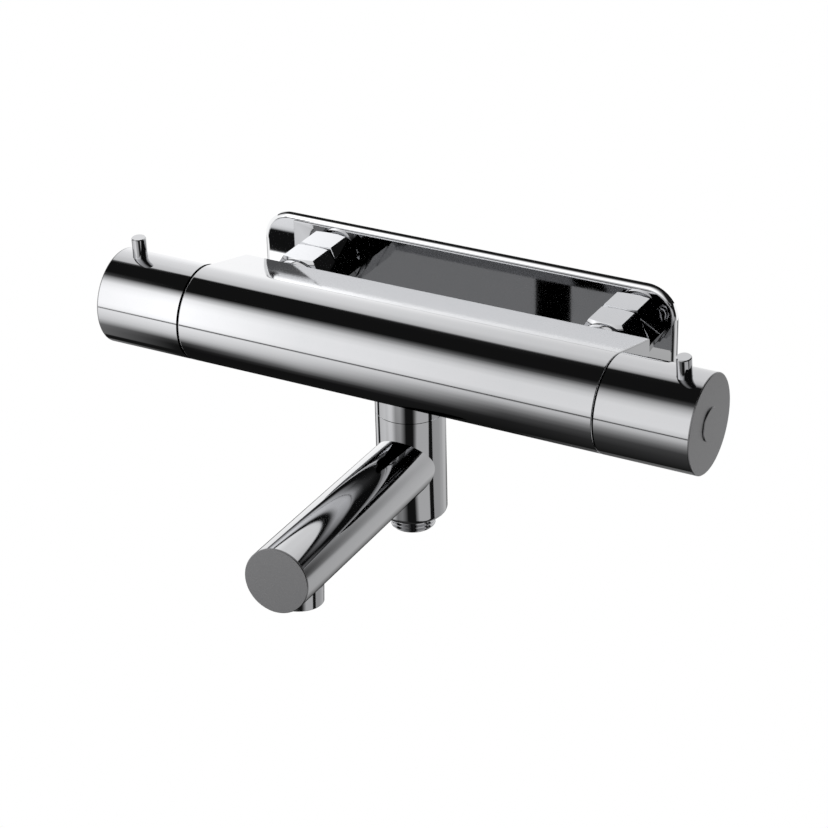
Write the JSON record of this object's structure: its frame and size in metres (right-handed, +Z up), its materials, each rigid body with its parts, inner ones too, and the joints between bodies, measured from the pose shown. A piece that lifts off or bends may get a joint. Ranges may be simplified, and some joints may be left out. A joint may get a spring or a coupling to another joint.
{
  "type": "bath mixer tap",
  "caption": "Wall-mounted thermostatic bath mixer: round bar body with turning handles, straight swivel spout with aerator, shower outlet and wall plate.",
  "frame": {"origin": "centre between the two inlets, on the wall face", "axes": "+Z up, +Y into the wall, +X towards the flow handle (the cold inlet's side)"},
  "size_m": [0.3012, 0.2094, 0.1231],
  "materials": {
    "plate_chrome": "mirror polished",
    "chrome": "polished",
    "satin_metal": "satin",
    "brass": "machined",
    "rubber": "matt",
    "white_plastic": "matt",
    "steel": "drawn",
    "grey_plastic": "matt",
    "ceramic": "lapped"
  },
  "bodies": {
    "tap": {"wall_plate": "plate_chrome", "plate_gasket": "rubber", "hot_union": "brass", "cold_union": "brass", "hot_coupling_nut": "chrome", "cold_coupling_nut": "chrome", "hot_inlet_tail": "brass", "cold_inlet_tail": "brass", "hot_inlet_collar": "chrome", "cold_inlet_collar": "chrome", "hot_filter_washer": "rubber", "cold_filter_washer": "rubber", "hot_check_housing": "white_plastic", "cold_check_housing": "white_plastic", "hot_check_spring": "steel", "cold_check_spring": "steel", "mixer_body": "chrome", "cartridge_body": "white_plastic", "cartridge_nut": "brass", "main_spring": "steel", "overload_spring": "steel", "cartridge_o_rings": "rubber", "temperature_stop_ring": "grey_plastic", "headwork_body": "brass", "fixed_disc": "ceramic", "headwork_seal": "rubber", "headwork_o_ring": "rubber", "flow_stop_ring": "grey_plastic", "neck_collar": "chrome", "shower_outlet_tube": "chrome", "swivel_o_rings": "rubber", "swivel_bush": "white_plastic", "retaining_ring": "steel"},
    "temperature_control": {"temperature_spindle": "brass", "temperature_adapter": "grey_plastic", "temperature_handle": "chrome", "temperature_pin": "chrome", "temperature_end_disc": "satin_metal", "temperature_screw": "steel", "temperature_screw_cap": "satin_metal"},
    "flow_control": {"headwork_spindle": "brass", "turning_disc": "ceramic", "flow_adapter": "grey_plastic", "flow_handle": "chrome", "flow_pin": "chrome", "flow_end_disc": "satin_metal", "flow_screw": "steel", "flow_screw_cap": "satin_metal"},
    "spout": {"swivel_spout": "chrome", "spout_end_disc": "satin_metal", "aerator_housing": "chrome", "aerator_insert": "grey_plastic", "aerator_washer": "rubber"},
    "regulator": {"regulating_piston": "steel", "wax_element": "brass"},
    "hot_poppet": {"hot_check_poppet": "white_plastic"},
    "cold_poppet": {"cold_check_poppet": "white_plastic"}
  },
  "joints": [
    {"name": "temperature_turn", "type": "hinge", "parent": "tap", "child": "temperature_control", "pos_m": [0, -0.0627, 0], "axis": [1, 0, 0], "range_deg": [-40, 100]},
    {"name": "flow_turn", "type": "hinge", "parent": "tap", "child": "flow_control", "pos_m": [0, -0.0627, 0], "axis": [1, 0, 0], "range_deg": [-83, 67]},
    {"name": "spout_swivel", "type": "hinge", "parent": "tap", "child": "spout", "pos_m": [0, -0.0553, 0], "axis": [0, 0, 1], "range_deg": [-64, 56]},
    {"name": "regulating_slide", "type": "slide", "parent": "tap", "child": "regulator", "axis": [1, 0, 0], "range_m": [-0.0005, 0.001], "deforming": ["main_spring", "overload_spring"]},
    {"name": "hot_check_slide", "type": "slide", "parent": "tap", "child": "hot_poppet", "axis": [0, -1, 0], "range_m": [0, 0.003], "stiffness_N_per_m": 60, "springref_m": -0.002, "deforming": ["hot_check_spring"]},
    {"name": "cold_check_slide", "type": "slide", "parent": "tap", "child": "cold_poppet", "axis": [0, -1, 0], "range_m": [0, 0.003], "stiffness_N_per_m": 60, "springref_m": -0.002, "deforming": ["cold_check_spring"]}
  ],
  "couplings": [
    {"joint": "regulating_slide", "follows": "temperature_turn", "m_per_rad": 0.00047746}
  ]
}
